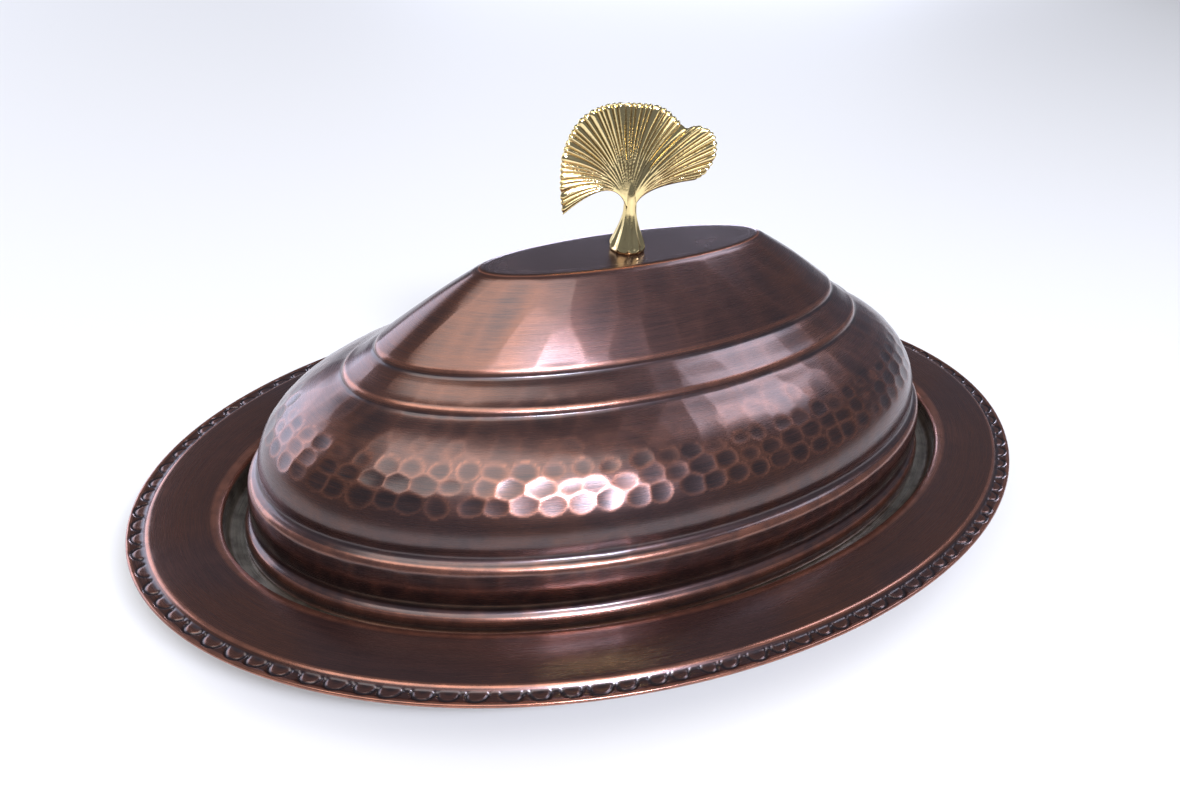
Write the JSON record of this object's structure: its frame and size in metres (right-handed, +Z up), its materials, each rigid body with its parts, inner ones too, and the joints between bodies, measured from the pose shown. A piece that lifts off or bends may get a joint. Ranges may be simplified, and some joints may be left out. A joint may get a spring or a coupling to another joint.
{
  "type": "oval serving tray with domed lid",
  "caption": "Oval hammered copper serving tray with a stamped border and a sunk well, and a stepped domed lid lifted by a cast brass leaf knob.",
  "frame": {"origin": "centre of the tray's underside, on the surface that it stands on", "axes": "+X along the tray's length, +Y across it, +Z up"},
  "size_m": [0.36, 0.25, 0.1604],
  "materials": {
    "tray_copper": "antiqued hammered copper, satin, tinned inside the well",
    "lid_copper": "antiqued hammered copper, satin, tinned inside",
    "knob_brass": "polished cast brass",
    "fastener_steel": "zinc plated steel"
  },
  "bodies": {
    "tray": {"tray_body": "tray_copper"},
    "lid": {"lid_shell": "lid_copper", "leaf_knob": "knob_brass", "knob_screw": "fastener_steel", "lock_washer": "fastener_steel", "flat_washer": "fastener_steel"}
  },
  "joints": [
    {"name": "lid_lift", "type": "slide", "parent": "tray", "child": "lid", "axis": [0, 0, 1], "range_m": [0, 0.2]}
  ]
}
